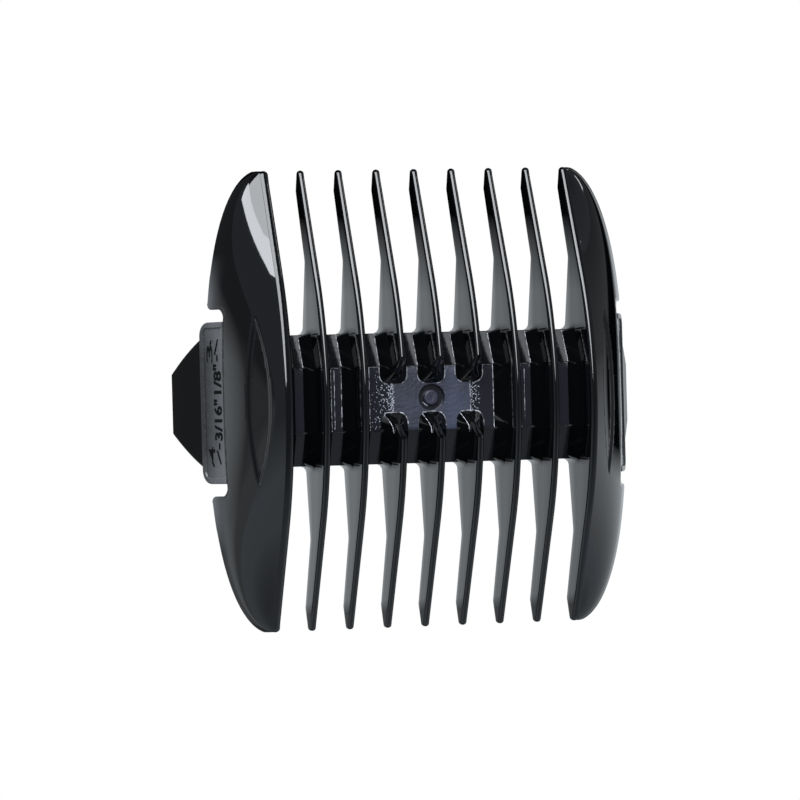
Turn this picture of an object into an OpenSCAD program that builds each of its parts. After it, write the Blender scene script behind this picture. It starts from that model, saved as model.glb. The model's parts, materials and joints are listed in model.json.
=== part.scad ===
// Reversible clip-on guard comb for a hair clipper.
// Origin: middle of the comb, on the plane that the two release tabs stand on.
// X runs across the teeth, Y along them (+Y is the 3 mm side), Z is up to the skin.

/* [Teeth] */
// Distance between neighbouring teeth
tooth_pitch = 5.15; // [4.7:0.05:5.4]
// Thickness of a tooth over the bar
tooth_thickness = 0.9; // [0.7:0.05:1.2]
// Thickness of a tooth at its tip
tip_thickness = 0.8; // [0.5:0.05:0.9]
// Length from the middle of the comb to a tip
tooth_reach = 30.3; // [29:0.1:32]
// Height of the ridge of the teeth above the tab feet
ridge_height = 20.3; // [19.5:0.1:22]
// Radius of the ridge line over the middle
ridge_radius = 35.5; // [32:0.5:38]
// Slope of the straight outer part of the ridge line
ridge_slope = 27.4; // [24:0.1:29]
// Radius of the corners at a tip
tip_radius = 0.45; // [0.3:0.05:0.5]

/* [Cutting length] */
// Tooth height over the blade edge on the front side
front_cut = 3.8; // [3.2:0.1:4.4]
// Tooth height over the blade edge on the rear side
rear_cut = 4.7; // [4.2:0.1:5.2]
// Distance of the blade edge from the middle
blade_line = 18.2; // [17:0.1:20]
// Height of a front tooth at the corner where its underside turns up to the tip
front_tip_height = 3; // [2.4:0.1:3.4]
// Height of a rear tooth at the corner where its underside turns up to the tip
rear_tip_height = 3.9; // [3.3:0.1:4.3]
// Distance of that corner behind the tip on the front side
front_tip_run = 2.7; // [1.5:0.1:3.5]
// Distance of that corner behind the tip on the rear side
rear_tip_run = 3; // [1.5:0.1:3.5]

/* [Cross bar] */
// Half of the width of the bar along the teeth
bar_half = 8.6; // [8:0.1:9.5]
// Half of the width of the flat middle of the bar
web_half = 4.2; // [3.8:0.1:5]
// Depth of the bar's crease lines below the ridge
bar_depth = 5.3; // [5:0.1:6]
// Slope of the front flange
front_slope = 30; // [24:1:33]
// Slope of the rear flange
rear_slope = 23; // [20:1:28]
// Depth of the bar's lower edge below the ridge
bar_bottom = 11.1; // [10.6:0.1:12]
// Wall thickness of the bar
bar_wall = 1.5; // [1.2:0.1:1.8]
// Depth of the textured field in the middle of the bar
field_depth = 0.25; // [0.15:0.05:0.4]
// Width of the flare at each side of a tooth root
root_flare = 1.4; // [1:0.1:1.6]
// Distance of the middle teeth's inner ends from the middle
split_half = 3.3; // [3:0.1:3.6]
// Slope of the inner ends of the middle teeth
split_slope = 60; // [50:1:70]

/* [Gate] */
// Diameter of the round well in the middle of the bar
well_diameter = 3.6; // [3:0.1:4]
// Depth of the well
well_depth = 0.7; // [0.5:0.1:0.9]
// Diameter of the nub in the well
nub_diameter = 2; // [1.6:0.1:2.4]
// Height of the nub
nub_height = 0.6; // [0.4:0.05:0.8]

/* [Cheeks] */
// Spread of a cheek, from its end tooth out to the skirt edge
cheek_spread = 7.75; // [7.3:0.05:8.6]
// Depth of the skirt edge below the ridge
skirt_depth = 12.4; // [12:0.1:13]
// Lean of the skirt wall from the vertical
skirt_lean = 24; // [20:1:28]
// Wall thickness of a cheek
cheek_wall = 1.8; // [1.4:0.1:2]
// Wall thickness of the thin lip along the skirt edge
lip_wall = 0.9; // [0.7:0.1:1.1]
// Length of the finger recess
recess_length = 23; // [18:0.5:26]
// Width of the finger recess
recess_width = 3.6; // [3:0.1:4]
// Distance of the finger recess from the ridge, down the cheek
recess_drop = 5.6; // [5:0.1:6.5]
// Depth of the finger recess
recess_depth = 0.45; // [0.3:0.05:0.6]

/* [Latches] */
// Length of a flap along the teeth
flap_length = 21.2; // [19:0.1:23]
// Depth of a flap's hinge line below the ridge
hinge_depth = 9.4; // [9:0.1:9.8]
// Distance that a flap lies in from the skirt line
flap_inset = 0.3; // [0.2:0.05:0.5]
// Height of a flap down its slope
flap_height = 5; // [4.6:0.1:5.4]
// Wall thickness of a flap
flap_wall = 1.1; // [0.9:0.1:1.3]
// Lean of the flap from the vertical
flap_lean = 24; // [22:1:26]
// Width of the slot at each end of a flap
slot_width = 1.6; // [1.4:0.1:2]
// Radius of the lower corners of a flap
flap_corner = 1.8; // [1.4:0.1:2]
// Radius of the corners of a flap's sunk panel and of the slots
slot_corner = 0.9; // [0.6:0.1:1.1]
// Width of the raised rim on a flap
rim_width = 0.7; // [0.5:0.1:0.9]
// Height of the raised rim on a flap
rim_height = 0.2; // [0.15:0.05:0.3]
// Gap between a flap and its cheek along the hinge line
hinge_gap = 0.2; // [0.15:0.05:0.3]

/* [Release tabs] */
// Length of a tab along the teeth where it leaves the flap
tab_base = 16.4; // [16:0.1:17]
// Length of a tab along the teeth at its foot
tab_foot = 7.8; // [7:0.1:9]
// Length between the points, halfway down, that a tab's bowed edges bend towards
tab_belly = 13.7; // [12.5:0.1:14.5]
// Thickness of a tab
tab_wall = 1.6; // [1.4:0.1:1.8]
// Distance that a tab's outer face lies behind the flap's outer face
tab_setback = 0.4; // [0.3:0.05:0.5]
// Height that a tab's root reaches up behind its flap
tab_root = 1.6; // [1.4:0.1:1.8]

/* [Catches] */
// Length of a catch along the teeth
catch_length = 8; // [6:0.5:10]
// Distance that a catch stands in from the flap
catch_reach = 0.9; // [0.6:0.1:1.1]
// Height of a catch
catch_height = 1.6; // [1.4:0.1:1.8]

/* [Hidden] */
smoke = [0.16, 0.17, 0.19];
slate = [0.24, 0.27, 0.35];
jet = [0.05, 0.05, 0.05];
arc_steps = 8;
ridge_steps = 24;
cheek_stations = 40;
cheek_steps = 16;
past = 1; // how far a cutter runs past what it cuts
wall_gap = 0.1; // clearance that keeps neighbouring surfaces apart
root_sink = 0.3; // how far a root reaches down into the bar
blade_relief = 1.5; // radius of the bend over the blade edge
lip_start = 0.8; // share of the section where the wall starts to thin into the lip
lip_run = 0.08; // share of the section over which it thins
middle_index = 4;
end_x = middle_index * tooth_pitch;
inner_face_x = end_x - tooth_thickness / 2;
outer_face_x = end_x + tooth_thickness / 2;
ridge_bend = ridge_radius * sin(ridge_slope); // where the ridge arc runs into its straight part
field_z = -bar_depth - field_depth;
saddle_z = -bar_depth + root_flare; // where the teeth stand on their roots

// Height of a flange's top at a distance from the middle
function flange_z(y, slope) = -bar_depth - (abs(y) - web_half) * tan(slope);
// How far the ridge line has dropped at a distance along a tooth
function ridge_drop(y) = abs(y) < ridge_bend
    ? ridge_radius - sqrt(pow(ridge_radius, 2) - y * y)
    : ridge_radius * (1 - cos(ridge_slope)) + (abs(y) - ridge_bend) * tan(ridge_slope);
function on_ridge(y) = [y, -ridge_drop(y)];
function unit(v) = v / norm(v);
// Points of the corner at b, between a and c, rounded to radius r
function rounded(a, b, c, r) =
    let (to_a = unit(a - b), to_c = unit(c - b), half = acos(to_a * to_c) / 2,
        centre = b + unit(to_a + to_c) * r / sin(half),
        from = b + to_a * r / tan(half) - centre, to = b + to_c * r / tan(half) - centre,
        start = atan2(from[1], from[0]), turn = atan2(to[1], to[0]) - start,
        sweep = turn - 360 * round(turn / 360))
    [for (i = [0:arc_steps])
        let (angle = start + sweep * i / arc_steps) centre + r * [cos(angle), sin(angle)]];
function ridge_points(from, to) =
    [for (i = [0:ridge_steps]) on_ridge(from + (to - from) * i / ridge_steps)];
function mirrored(points) = [for (i = [len(points) - 1:-1:0]) [-points[i][0], points[i][1]]];

// Side view of a tooth's outer half in Y and Z, from the tip back to the bar
function tip_outline(cut, tip_height, tip_run) =
    let (top = on_ridge(tooth_reach), blade = on_ridge(blade_line) - [0, cut],
        low = on_ridge(tooth_reach - tip_run) - [0, tip_height],
        chin = [tooth_reach, (low[1] + top[1]) / 2], root = [bar_half, -bar_bottom])
    concat(rounded(on_ridge(ridge_bend), top, chin, tip_radius), rounded(top, chin, low, tip_radius),
        rounded(chin, low, blade, tip_radius / 2), rounded(low, blade, root, blade_relief), [root]);

// A side view drawn in Y and Z, made a slab whose middle is at x
module slab(x, thickness) {
    translate([x - thickness / 2, 0, ridge_height])
        rotate([90, 0, 90])
            linear_extrude(thickness)
                children();
}

// The plan view of a tooth at x, which narrows towards its tips
module tooth_plan(x) {
    half = tooth_thickness / 2;
    tip = tip_thickness / 2;
    front = [[half, blade_line], [tip, tooth_reach + past]];
    rear = [[half, -blade_line], [tip, -tooth_reach - past]];
    translate([x, 0, 0])
        linear_extrude(ridge_height + past)
            polygon([front[0], front[1], [-tip, front[1][1]], [-half, front[0][1]],
                [-half, rear[0][1]], [-tip, rear[1][1]], rear[1], rear[0]]);
}

function saddle(slope) = [[bar_half, flange_z(bar_half, slope) + root_flare], [web_half, saddle_z]];

module tooth(number, outline) {
    x = (number - middle_index) * tooth_pitch;
    color(smoke)
        intersection() {
            slab(x, tooth_thickness) polygon(outline);
            tooth_plan(x);
        }
}

ridge_middle = ridge_points(-ridge_bend, ridge_bend);
front_end = tip_outline(front_cut, front_tip_height, front_tip_run);
rear_end = tip_outline(rear_cut, rear_tip_height, rear_tip_run);
through_outline = concat(ridge_middle, front_end, saddle(front_slope), mirrored(saddle(rear_slope)),
    mirrored(rear_end));
end_outline = concat(ridge_middle, front_end, mirrored(rear_end));
// The inner end of a middle tooth slopes from the ridge down to its root
split_top = split_half + (-ridge_drop(split_half) - saddle_z) / tan(split_slope);
function half_outline(end, slope) = concat(ridge_points(split_top, ridge_bend), end,
    saddle(slope), [[split_half, saddle_z]]);
front_outline = half_outline(front_end, front_slope);
rear_outline = mirrored(half_outline(rear_end, rear_slope));

// Section of a tooth's root: the tooth's thickness at the top, flaring out to the bar, and sunk into it
function flare_points(height) =
    let (half = tooth_thickness / 2)
    concat([[half + root_flare, -root_sink]], [for (i = [0:arc_steps]) let (angle = 90 * i / arc_steps)
        [half + root_flare * (1 - sin(angle)), height * (1 - cos(angle))]]);

// A level or sloping root along +Y from the origin
module root_bar(height, slope, length) {
    rotate([-slope, 0, 0])
        rotate([90, 0, 180])
            translate([0, 0, -past])
                linear_extrude(length / cos(slope) + 2 * past)
                    polygon(concat(flare_points(height), mirrored(flare_points(height))));
}

// Roots of all teeth and of the two end teeth, in the strip of the bar that is this long
module roots(height, slope, length) {
    intersection() {
        for (i = [-middle_index:middle_index])
            translate([i * tooth_pitch, 0, 0]) root_bar(height, slope, length);
        translate([-inner_face_x, 0, -ridge_height])
            cube([2 * inner_face_x, length, 2 * ridge_height]);
    }
}

module flange(slope) {
    edge_z = flange_z(bar_half, slope);
    color(smoke) {
        slab(0, 2 * inner_face_x)
            polygon([[web_half, -bar_depth], [bar_half, edge_z], [bar_half, -bar_bottom],
                [bar_half - bar_wall, -bar_bottom], [bar_half - bar_wall, edge_z - bar_wall],
                [web_half, field_z - bar_wall]]);
        translate([0, web_half, ridge_height - bar_depth])
            roots(root_flare * cos(slope), slope, bar_half - web_half);
    }
}

module front_flange() {
    flange(front_slope);
}

module rear_flange() {
    mirror([0, 1, 0]) flange(rear_slope);
}

// The end of a middle tooth's root, turned round the tooth's end
module root_end() {
    rotate_extrude($fn = 48)
        polygon(concat([[0, -root_sink]], flare_points(root_flare + field_depth),
            [[0, root_flare + field_depth]]));
}

module bridge_web() {
    field_height = root_flare + field_depth;
    cap_y = split_half + tooth_thickness / 2;
    color(slate)
        difference() {
            union() {
                translate([-inner_face_x, -web_half, ridge_height + field_z - bar_wall])
                    cube([2 * inner_face_x, 2 * web_half, bar_wall]);
                intersection() {
                    union()
                        for (i = [-middle_index:middle_index])
                            translate([i * tooth_pitch, 0, ridge_height + field_z])
                                if (abs(i) > 1) {
                                    translate([0, -web_half, 0]) root_bar(field_height, 0, 2 * web_half);
                                } else {
                                    for (side = [-1, 1])
                                        mirror([0, side < 0 ? 1 : 0, 0]) {
                                            translate([0, cap_y, 0]) root_end();
                                            translate([0, cap_y + past, 0]) root_bar(field_height, 0, web_half);
                                        }
                                }
                    translate([-inner_face_x, -web_half, 0])
                        cube([2 * inner_face_x, 2 * web_half, ridge_height]);
                }
            }
            translate([0, 0, ridge_height + field_z - well_depth])
                cylinder(h = well_depth + past, d = well_diameter, $fn = 48);
        }
}

module gate_nub() {
    color(slate)
        translate([0, 0, ridge_height + field_z - well_depth])
            cylinder(h = nub_height, d = nub_diameter, $fn = 48);
}

module end_tooth(side) {
    color(smoke)
        intersection() {
            slab(side * end_x, tooth_thickness) polygon(end_outline);
            tooth_plan(side * end_x);
        }
}

// Cheek shell, swept in sections along Y from one tip to the other
skirt_power = 2.6; // 2 would make the skirt line an ellipse
cheek_end = tooth_reach - tip_radius;
function station_y(i) = cheek_end * sin(180 * i / cheek_stations - 90);
function skirt_x(y) =
    outer_face_x + cheek_spread * sqrt(1 - pow(abs(y) / (tooth_reach + wall_gap), skirt_power));
function blend(a, b, t) = a + (b - a) * max(0, min(1, t));
// Outer section at y: a curve from the ridge to the skirt edge, leaning as the skirt wall does there
function cheek_bend(y) =
    let (top = [outer_face_x, -ridge_drop(y)], foot = [skirt_x(y), -skirt_depth], chord = norm(top - foot),
        lean = atan2(foot[0] - top[0], top[1] - foot[1]) - skirt_lean,
        reach = min(chord / (2 * cos(lean)), (top[1] - foot[1]) / cos(skirt_lean)))
    foot + reach * [-sin(skirt_lean), cos(skirt_lean)];
function cheek_outer(y, t) =
    let (top = [outer_face_x, -ridge_drop(y)], foot = [skirt_x(y), -skirt_depth])
    (1 - t) * (1 - t) * top + 2 * t * (1 - t) * cheek_bend(y) + t * t * foot;
function cheek_normal(y, t) =
    let (top = [outer_face_x, -ridge_drop(y)], foot = [skirt_x(y), -skirt_depth], mid = cheek_bend(y),
        along = unit((1 - t) * (mid - top) + t * (foot - mid)))
    [along[1], -along[0]];
// Inner section: the wall's thickness in from the outer one, level at the skirt and upright at the ridge
function cheek_inner(y, t) =
    let (inward = -[sin(90 * t), cos(90 * t)], wall = blend(cheek_wall, lip_wall, (t - lip_start) / lip_run),
        room = 0.7 * min(skirt_depth - ridge_drop(y), skirt_x(y) - outer_face_x),
        depth = min(wall / max(0.5, abs(inward * cheek_normal(y, t))), room))
    cheek_outer(y, t) + depth * inward;
// Depth of the almond-shaped finger recess, which is pointed at both ends
function recess(y, t) =
    let (span = norm(cheek_outer(0, 1) - cheek_outer(0, 0)), offset = t * span - recess_drop,
        half = recess_width / 2 * (1 - pow(2 * y / recess_length, 2)))
    abs(offset) < half ? recess_depth * (1 - pow(offset / half, 2)) * 2 * half / recess_width : 0;
function cheek_ring(y) = concat(
    [for (j = [0:cheek_steps]) let (t = j / cheek_steps) cheek_outer(y, t) - recess(y, t) * cheek_normal(y, t)],
    [for (j = [cheek_steps:-1:0]) cheek_inner(y, j / cheek_steps)]);

module cheek_shell() {
    ring = 2 * (cheek_steps + 1);
    points = [for (i = [0:cheek_stations]) let (y = station_y(i))
        for (p = cheek_ring(y)) [p[0], y, ridge_height + p[1]]];
    sides = [for (i = [0:cheek_stations - 1]) for (j = [0:ring - 1]) let (k = (j + 1) % ring)
        [i * ring + j, (i + 1) * ring + j, (i + 1) * ring + k, i * ring + k]];
    ends = [[for (j = [0:ring - 1]) j], [for (j = [ring - 1:-1:0]) cheek_stations * ring + j]];
    polyhedron(points, concat(sides, ends));
}

// The flap's face at the hinge line, where it runs on from the cheek
hinge_reach = skirt_x(0) - flap_inset - (skirt_depth - hinge_depth) * tan(flap_lean);
// Frame of a latch: X out of the flap's face, Y along the teeth, Z up the flap from its hinge line
module latch_frame() {
    translate([hinge_reach, 0, ridge_height - hinge_depth])
        rotate([0, -flap_lean, 0])
            children();
}

// A plate in the latch frame, drawn in Y and Z, that lies between two depths below the flap's face
module latch_plate(face, back) {
    translate([-back, 0, 0])
        rotate([90, 0, 90])
            linear_extrude(back - face)
                children();
}

function side_flip(side) = [side < 0 ? 1 : 0, 0, 0];
// A four-sided plate outline that is symmetric in Y, with its two lower corners rounded
function plate_outline(top_half, top_z, foot_half, foot_z, r) =
    concat([[top_half, top_z]], rounded([top_half, top_z], [foot_half, foot_z], [-foot_half, foot_z], r),
        rounded([foot_half, foot_z], [-foot_half, foot_z], [-top_half, top_z], r), [[-top_half, top_z]]);

module cheek(side) {
    window_half = flap_length / 2 + slot_width;
    color(smoke)
        mirror(side_flip(side))
            difference() {
                cheek_shell();
                latch_frame()
                    latch_plate(-cheek_spread, cheek_spread)
                        mirror([0, 1, 0])
                            polygon(plate_outline(window_half, 2 * flap_height, window_half, 0, slot_corner));
            }
}

module latch_flap(side) {
    half = flap_length / 2;
    color(smoke)
        mirror(side_flip(side))
            latch_frame()
                difference() {
                    latch_plate(0, flap_wall)
                        polygon(plate_outline(half, -hinge_gap, half, -flap_height, flap_corner));
                    latch_plate(-past, rim_height)
                        polygon(plate_outline(half - rim_width, past, half - rim_width,
                            rim_width - flap_height, slot_corner));
                }
}

foot_z = -(ridge_height - hinge_depth) / cos(flap_lean);
tab_back = tab_setback + tab_wall;

module release_tab(side) {
    base = [tab_base / 2, -flap_height];
    foot = [tab_foot / 2, foot_z];
    belly = [tab_belly / 2, (base[1] + foot[1]) / 2];
    edge = [for (i = [0:arc_steps]) let (t = i / arc_steps)
        (1 - t) * (1 - t) * base + 2 * t * (1 - t) * belly + t * t * foot];
    grip = concat(edge, mirrored(edge));
    color(jet)
        mirror(side_flip(side))
            difference() {
                latch_frame()
                    union() {
                        latch_plate(tab_setback, tab_back) polygon(grip);
                        latch_plate(flap_wall, tab_back)
                            translate([-tab_base / 2, -flap_height - past])
                                square([tab_base, tab_root + past]);
                    }
                translate([0, -tab_base, -ridge_height]) cube([2 * hinge_reach, 2 * tab_base, ridge_height]);
            }
}

module catch_hook(side) {
    top = -flap_height + tab_root + catch_height + wall_gap;
    color(smoke)
        mirror(side_flip(side))
            latch_frame()
                translate([0, catch_length / 2, 0])
                    rotate([90, 0, 0])
                        linear_extrude(catch_length)
                            polygon([[-flap_wall, top], [-flap_wall - catch_reach, top - catch_height / 3],
                                [-flap_wall, top - catch_height]]);
}

bridge_web();
front_flange();
rear_flange();
gate_nub();
tooth(1, through_outline);  // tooth_1
tooth(2, through_outline);  // tooth_2
tooth(3, front_outline);  // tooth_3_front
tooth(3, rear_outline);  // tooth_3_rear
tooth(4, front_outline);  // tooth_4_front
tooth(4, rear_outline);  // tooth_4_rear
tooth(5, front_outline);  // tooth_5_front
tooth(5, rear_outline);  // tooth_5_rear
tooth(6, through_outline);  // tooth_6
tooth(7, through_outline);  // tooth_7
end_tooth(-1);  // left_end_tooth
end_tooth(1);  // right_end_tooth
cheek(-1);  // left_cheek
cheek(1);  // right_cheek
latch_flap(-1);  // left_latch_flap
latch_flap(1);  // right_latch_flap
release_tab(-1);  // left_release_tab
release_tab(1);  // right_release_tab
catch_hook(-1);  // left_catch
catch_hook(1);  // right_catch
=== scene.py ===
import json
from math import atan2, ceil, cos, hypot, pi, radians, sin, sqrt, tan
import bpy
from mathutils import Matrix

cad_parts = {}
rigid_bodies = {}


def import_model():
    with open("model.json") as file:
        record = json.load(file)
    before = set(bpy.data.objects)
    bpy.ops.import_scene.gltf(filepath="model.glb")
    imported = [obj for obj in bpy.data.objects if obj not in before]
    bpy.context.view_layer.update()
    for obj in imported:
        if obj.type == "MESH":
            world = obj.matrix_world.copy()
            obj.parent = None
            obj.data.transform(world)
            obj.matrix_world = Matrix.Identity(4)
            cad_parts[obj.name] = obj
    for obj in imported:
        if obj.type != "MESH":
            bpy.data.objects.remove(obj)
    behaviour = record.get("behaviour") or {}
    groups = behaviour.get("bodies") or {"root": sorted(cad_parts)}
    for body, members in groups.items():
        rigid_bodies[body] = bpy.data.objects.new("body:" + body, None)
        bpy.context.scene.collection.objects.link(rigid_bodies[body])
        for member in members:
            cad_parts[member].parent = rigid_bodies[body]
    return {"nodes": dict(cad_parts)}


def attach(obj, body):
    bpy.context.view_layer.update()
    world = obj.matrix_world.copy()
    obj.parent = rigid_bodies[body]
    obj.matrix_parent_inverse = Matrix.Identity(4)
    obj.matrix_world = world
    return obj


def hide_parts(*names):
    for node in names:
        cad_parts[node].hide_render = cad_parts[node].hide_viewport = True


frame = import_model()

from types import SimpleNamespace

import bmesh
import bpy
from mathutils import Matrix, Vector
from mathutils.bvhtree import BVHTree
from mathutils.geometry import delaunay_2d_cdt

mm = 0.001
scene = bpy.context.scene
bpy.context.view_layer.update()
print("frame loaded:", len(frame["nodes"]), "nodes")

# Measures that several pieces share, in millimetres. Depths count down from the top of the ridge.
comb = {
    "pitch": 5.15,
    "thickness": 0.9,
    "reach": 30.3,
    "ridgeHeight": 20.3,
    "ridgeRadius": 35.5,
    "ridgeSlope": 27.4,
    "bladeLine": 18.2,
    "barHalf": 8.6,
    "webHalf": 4.2,
    "barDepth": 5.3,
    "fieldDepth": 0.25,
    "barBottom": 11.1,
    "rootFlare": 1.4,
    "frontSlope": 30.0,
    "rearSlope": 23.0,
}
endX = 4 * comb["pitch"]
innerFaceX = endX - comb["thickness"] / 2
outerFaceX = endX + comb["thickness"] / 2
fieldZ = -comb["barDepth"] - comb["fieldDepth"]
sides = (("left", -1), ("right", 1))
square = ((-1, -1), (1, -1), (1, 1), (-1, 1))
plasticIor = 1.49


def newObject(name, data):
    made = bpy.data.objects.new(name, data)
    scene.collection.objects.link(made)
    return made


def held(value):  # kept between 0 and 1
    return min(1, max(0, value))


cameraPlace = {
    "aim": (-5.407, -0.239, 18.851),
    "tilt": 15.0,
    "roll": 1.55,
    "distance": 600.0,
    "lens": 207.7,
    "sensor": 36.0,
    "nearest": 0.01,
}


def placeCamera(place):
    tilt, roll = radians(place["tilt"]), radians(place["roll"])
    ahead = Vector((sin(tilt), 0, -cos(tilt)))
    side = Vector((cos(tilt), 0, sin(tilt)))
    across = cos(roll) * side - sin(roll) * Vector((0, 1, 0))
    upward = sin(roll) * side + cos(roll) * Vector((0, 1, 0))
    turn = Matrix((across, upward, -ahead)).transposed().to_4x4()
    data = bpy.data.cameras.new("camera")
    data.lens = place["lens"]
    data.sensor_width = place["sensor"]
    data.clip_start = place["nearest"]
    camera = newObject("camera", data)
    camera.matrix_world = Matrix.Translation((Vector(place["aim"]) - place["distance"] * ahead) * mm) @ turn
    scene.camera = camera


placeCamera(cameraPlace)


class Wire:  # the value on one socket, so that node maths reads as an expression
    def __init__(self, bench, node, output=0):
        self.bench, self.node = bench, node
        self.socket = node.outputs[output] if node.outputs else None

    def out(self, output):
        return Wire(self.bench, self.node, output)

    def math(self, operation, *others):
        values = dict(enumerate((self,) + others))
        return self.bench.add("ShaderNodeMath", {"operation": operation}, values)

    def turned(self, operation, other):
        return self.bench.add("ShaderNodeMath", {"operation": operation}, {0: other, 1: self})

    def __neg__(self):
        return self.math("MULTIPLY", -1.0)

    def size(self):
        return self.math("ABSOLUTE")

    def sine(self):
        return self.math("SINE")

    def cosine(self):
        return self.math("COSINE")

    def tangent(self):
        return self.math("TANGENT")

    def root(self):
        return self.math("MAXIMUM", 0.0).math("SQRT")

    def least(self, other):
        return self.math("MINIMUM", other)

    def most(self, other):
        return self.math("MAXIMUM", other)

    def share(self):  # held between 0 and 1
        return self.least(1.0).most(0.0)


def addOperators():
    for word, operation in (("add", "ADD"), ("sub", "SUBTRACT"), ("mul", "MULTIPLY"), ("truediv", "DIVIDE"),
                            ("pow", "POWER"), ("lt", "LESS_THAN"), ("gt", "GREATER_THAN")):
        def plain(self, other, operation=operation):
            return self.math(operation, other)

        def reflected(self, other, operation=operation):
            return self.turned(operation, other)

        setattr(Wire, f"__{word}__", plain)
        if word not in ("lt", "gt"):
            setattr(Wire, f"__r{word}__", reflected)


addOperators()


class Bench:  # a node tree, and the one way a node is added to it
    def __init__(self, tree):
        self.tree = tree

    def add(self, kind, settings=None, values=None, output=0):
        node = self.tree.nodes.new(kind)
        for name, value in (settings or {}).items():
            setattr(node, name, value)
        for name, value in (values or {}).items():
            for each in value if isinstance(value, list) else [value]:
                if isinstance(each, Wire):
                    self.tree.links.new(each.socket, node.inputs[name])
                else:
                    node.inputs[name].default_value = each
        return Wire(self, node, output)


def pick(test, yes, no):  # yes where test is 1, no where it is 0
    return test * yes + (1 - test) * no


def shaderBench(name):
    material = bpy.data.materials.new(name)
    material.use_nodes = True
    material.node_tree.nodes.clear()
    return material, Bench(material.node_tree)


def mixColour(bench, factor, first, second):
    return bench.add("ShaderNodeMix", {"data_type": "RGBA"}, {0: factor, 6: first, 7: second}, output=2)


def noise(bench, spot, scale, detail):
    return bench.add("ShaderNodeTexNoise", None, {"Vector": spot, "Scale": scale, "Detail": detail}, output="Fac")


def closeMaterial(bench, colour, rough, bump, sockets, inside=None):
    normal = bench.add("ShaderNodeBump", None, bump, output="Normal")
    values = {"Base Color": colour, "Roughness": rough, "Normal": normal, "IOR": plasticIor, **sockets}
    surface = bench.add("ShaderNodeBsdfPrincipled", None, values)
    ends = {"Surface": surface, "Volume": inside} if inside else {"Surface": surface}
    bench.add("ShaderNodeOutputMaterial", None, ends)


def ramp(value, start, stop):  # 0 at the start, 1 at the stop
    return ((value - start) / (stop - start)).share()


def geometryBench(name, inputs):
    tree = bpy.data.node_groups.new(name, "GeometryNodeTree")
    for label, kind in inputs.items():
        tree.interface.new_socket(name=label, in_out="INPUT", socket_type="NodeSocket" + kind)
    tree.interface.new_socket(name="Geometry", in_out="OUTPUT", socket_type="NodeSocketGeometry")
    bench = Bench(tree)
    entry = bench.add("NodeGroupInput")
    return bench, SimpleNamespace(**{label: entry.out(label) for label in inputs})


def closeTree(bench, geometry, material):  # sizes are in millimetres up to here
    sized = bench.add("GeometryNodeTransform", None, {"Geometry": geometry, "Scale": (mm, mm, mm)})
    real = bench.add("GeometryNodeRealizeInstances", None, {"Geometry": sized})
    dressed = bench.add("GeometryNodeSetMaterial", None, {"Geometry": real, "Material": material})
    bench.add("NodeGroupOutput", None, {"Geometry": dressed})
    return bench.tree


def plainMesh(holder):  # what the object shows, without the object and its modifiers
    seen = holder.evaluated_get(bpy.context.evaluated_depsgraph_get())
    mesh = bpy.data.meshes.new_from_object(seen)
    holder.modifiers.clear()
    bpy.data.objects.remove(holder)
    return mesh


def grown(name, tree, values, base=None):  # the plain mesh that a geometry tree makes from these inputs
    holder = newObject(name + "Seed", base or bpy.data.meshes.new(name + "Seed"))
    modifier = holder.modifiers.new("grow", "NODES")
    modifier.node_group = tree
    for item in tree.interface.items_tree:
        if item.in_out == "INPUT" and item.name in values:
            modifier[item.identifier] = values[item.name]
    mesh = plainMesh(holder)
    mesh.name = name
    return mesh


def tidyMesh(mesh, sharp, doubles=2e-7):
    work = bmesh.new()
    work.from_mesh(mesh)
    bmesh.ops.remove_doubles(work, verts=work.verts, dist=doubles)
    bmesh.ops.dissolve_degenerate(work, edges=work.edges, dist=1e-8)
    bmesh.ops.recalc_face_normals(work, faces=work.faces)
    work.to_mesh(mesh)
    work.free()
    mesh.shade_smooth()
    mesh.set_sharp_from_angle(angle=radians(sharp))


def addPiece(name, mesh, material, body, nodes=(), sharp=32, doubles=2e-7):
    tidyMesh(mesh, sharp, doubles)
    piece = newObject(name, mesh)
    mesh.materials.clear()
    mesh.materials.append(material)
    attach(piece, body)
    if nodes:
        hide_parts(*nodes)


def meshFrom(name, points, faces):
    mesh = bpy.data.meshes.new(name)
    mesh.from_pydata([(x * mm, y * mm, (z + comb["ridgeHeight"]) * mm) for x, y, z in points], [], faces)
    return mesh


def addShape(node, points, faces, material, body, sharp=32):  # the piece that is shown for this node
    addPiece(node + "_shape", meshFrom(node, points, faces), material, body, [node], sharp=sharp)


def onBothSides(name, points, faces, material, body=None, sharp=32):  # drawn for the right side
    for side, turn in sides:
        sided = [(turn * x, y, max(z, -comb["ridgeHeight"])) for x, y, z in points]
        addShape(f"{side}_{name}", sided, faces, material, body or f"{side}_latch", sharp)


def roundCorner(before, corner, after, radius, steps):
    corner = Vector(corner)
    toBefore, toAfter = (Vector(before) - corner).normalized(), (Vector(after) - corner).normalized()
    half = toBefore.angle(toAfter) / 2
    centre = corner + (toBefore + toAfter).normalized() * radius / sin(half)
    start = corner + toBefore * radius / tan(half) - centre
    stop = corner + toAfter * radius / tan(half) - centre
    first = atan2(start.y, start.x)
    sweep = atan2(stop.y, stop.x) - first
    sweep -= 2 * pi * round(sweep / (2 * pi))
    angles = [first + sweep * i / steps for i in range(steps + 1)]
    return [(centre.x + radius * cos(a), centre.y + radius * sin(a)) for a in angles]


def roundedLoop(corners, steps=8):  # corners are (x, y, radius); radius 0 stays sharp
    loop = []
    for i, (x, y, radius) in enumerate(corners):
        if radius:
            before, after = corners[i - 1][:2], corners[(i + 1) % len(corners)][:2]
            loop += roundCorner(before, (x, y), after, radius, steps)
        else:
            loop.append((x, y))
    return loop


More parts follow.
